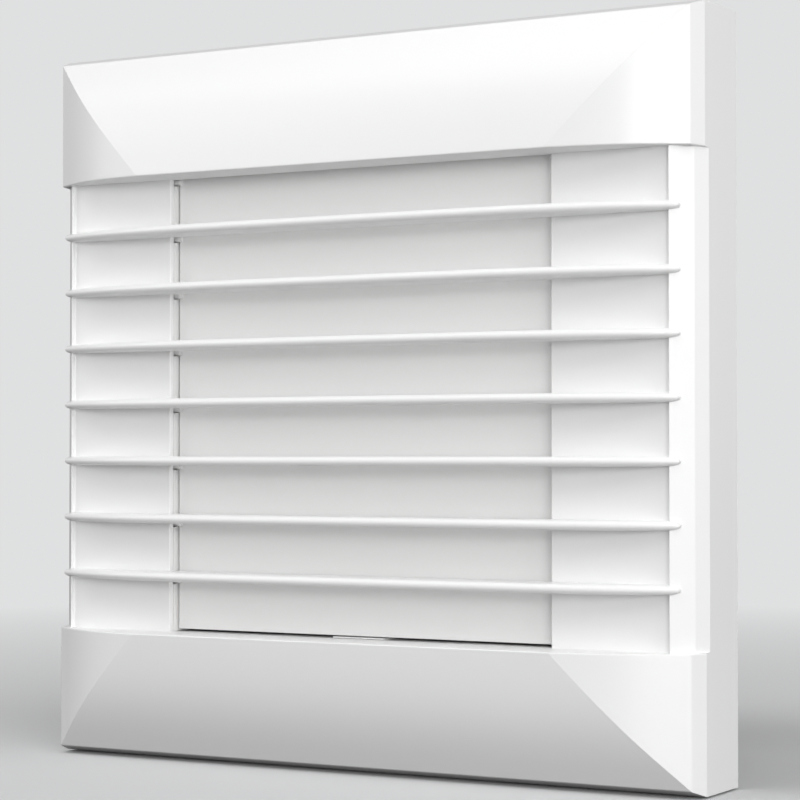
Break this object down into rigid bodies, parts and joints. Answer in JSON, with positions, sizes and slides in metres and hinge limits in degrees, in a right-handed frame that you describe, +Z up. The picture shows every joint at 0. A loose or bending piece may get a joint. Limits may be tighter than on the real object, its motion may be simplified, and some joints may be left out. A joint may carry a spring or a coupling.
{
  "type": "window exhaust fan",
  "caption": "Square window or wall exhaust fan with a slatted front cover, linked self-opening shutter flaps, an axial fan in a round duct and a louvred outer shroud.",
  "frame": {"origin": "centre of the hole in the pane, on the pane's room face", "axes": "+Z up, +Y through the pane to the open air, +X to the right as seen from the room; the front cover faces -Y"},
  "size_m": [0.19, 0.1042, 0.19],
  "materials": {
    "white_gloss": "glossy white",
    "white_satin": "satin white",
    "grey_plastic": "satin grey",
    "dark_plastic": "satin black",
    "steel": "bright zinc-plated",
    "motor_steel": "drawn sheet",
    "lamination": "stacked electrical sheet",
    "copper": "enamelled copper wire",
    "brass": "bright",
    "rubber": "matt black",
    "foam": "closed-cell foam"
  },
  "bodies": {
    "fixed": {"front_cover": "white_gloss", "cover_lock_screw": "steel", "shutter_frame": "white_satin", "frame_screw_1": "steel", "frame_screw_2": "steel", "frame_screw_3": "steel", "frame_screw_4": "steel", "actuator_bracket": "steel", "actuator_body": "brass", "return_spring": "steel", "actuator_screw_1": "steel", "actuator_screw_2": "steel", "fan_housing": "white_satin", "room_gasket": "foam", "terminal_block": "grey_plastic", "terminal_screw_1": "brass", "terminal_screw_2": "brass", "terminal_screw_3": "brass", "terminal_cover": "white_satin", "cable_grommet": "rubber", "motor_front_shell": "motor_steel", "motor_rear_shell": "motor_steel", "stator_core": "lamination", "stator_windings": "copper", "front_bearing": "steel", "rear_bearing": "steel", "motor_bracket": "grey_plastic", "bracket_screw_1": "steel", "bracket_screw_2": "steel", "bracket_screw_3": "steel", "motor_screw_1": "steel", "motor_screw_2": "steel", "finger_guard": "dark_plastic", "outer_gasket": "foam", "outer_shroud": "white_satin", "weather_louvre": "white_satin", "clamp_screw_1": "steel", "clamp_screw_2": "steel", "clamp_screw_3": "steel", "clamp_nut_1": "steel", "clamp_nut_2": "steel", "clamp_nut_3": "steel", "motor_lead": "dark_plastic", "actuator_lead": "dark_plastic"},
    "flap_1": {"flap_1": "white_satin"},
    "flap_2": {"flap_2": "white_satin"},
    "flap_3": {"flap_3": "white_satin"},
    "flap_4": {"flap_4": "white_satin"},
    "flap_5": {"flap_5": "white_satin"},
    "flap_6": {"flap_6": "white_satin"},
    "flap_7": {"flap_7": "white_satin"},
    "flap_8": {"flap_8": "white_satin"},
    "link_bar": {"link_bar": "white_satin"},
    "plunger": {"actuator_plunger": "steel"},
    "rotor": {"motor_shaft": "steel", "rotor_core": "lamination", "impeller": "grey_plastic", "impeller_retainer": "steel"}
  },
  "joints": [
    {"name": "flap_1_swing", "type": "hinge", "parent": "fixed", "child": "flap_1", "pos_m": [0, -0.022, 0.05952], "axis": [1, 0, 0], "range_deg": [0, 80]},
    {"name": "flap_2_swing", "type": "hinge", "parent": "fixed", "child": "flap_2", "pos_m": [0, -0.022, 0.04428], "axis": [1, 0, 0], "range_deg": [0, 80]},
    {"name": "flap_3_swing", "type": "hinge", "parent": "fixed", "child": "flap_3", "pos_m": [0, -0.022, 0.02904], "axis": [1, 0, 0], "range_deg": [0, 80]},
    {"name": "flap_4_swing", "type": "hinge", "parent": "fixed", "child": "flap_4", "pos_m": [0, -0.022, 0.0138], "axis": [1, 0, 0], "range_deg": [0, 80]},
    {"name": "flap_5_swing", "type": "hinge", "parent": "fixed", "child": "flap_5", "pos_m": [0, -0.022, -0.00144], "axis": [1, 0, 0], "range_deg": [0, 80]},
    {"name": "flap_6_swing", "type": "hinge", "parent": "fixed", "child": "flap_6", "pos_m": [0, -0.022, -0.01668], "axis": [1, 0, 0], "range_deg": [0, 80]},
    {"name": "flap_7_swing", "type": "hinge", "parent": "fixed", "child": "flap_7", "pos_m": [0, -0.022, -0.03192], "axis": [1, 0, 0], "range_deg": [0, 80]},
    {"name": "flap_8_swing", "type": "hinge", "parent": "fixed", "child": "flap_8", "pos_m": [0, -0.022, -0.04716], "axis": [1, 0, 0], "range_deg": [0, 80]},
    {"name": "link_bar_pivot", "type": "hinge", "parent": "flap_1", "child": "link_bar", "pos_m": [0, -0.01664, 0.05502], "axis": [1, 0, 0], "range_deg": [-80, 0]},
    {"name": "plunger_slide", "type": "slide", "parent": "fixed", "child": "plunger", "axis": [0, 0, 1], "range_m": [0, 0.009], "deforming": ["return_spring"]},
    {"name": "rotor_spin", "type": "hinge", "parent": "fixed", "child": "rotor", "pos_m": [0, 0, 0], "axis": [0, 1, 0], "continuous": true}
  ],
  "couplings": [
    {"joint": "flap_2_swing", "follows": "flap_1_swing", "ratio": 1},
    {"joint": "flap_3_swing", "follows": "flap_1_swing", "ratio": 1},
    {"joint": "flap_4_swing", "follows": "flap_1_swing", "ratio": 1},
    {"joint": "flap_5_swing", "follows": "flap_1_swing", "ratio": 1},
    {"joint": "flap_6_swing", "follows": "flap_1_swing", "ratio": 1},
    {"joint": "flap_7_swing", "follows": "flap_1_swing", "ratio": 1},
    {"joint": "flap_8_swing", "follows": "flap_1_swing", "ratio": 1},
    {"joint": "link_bar_pivot", "follows": "flap_1_swing", "ratio": -1},
    {"joint": "plunger_slide", "follows": "flap_1_swing", "m_per_rad": 0.0064451}
  ]
}
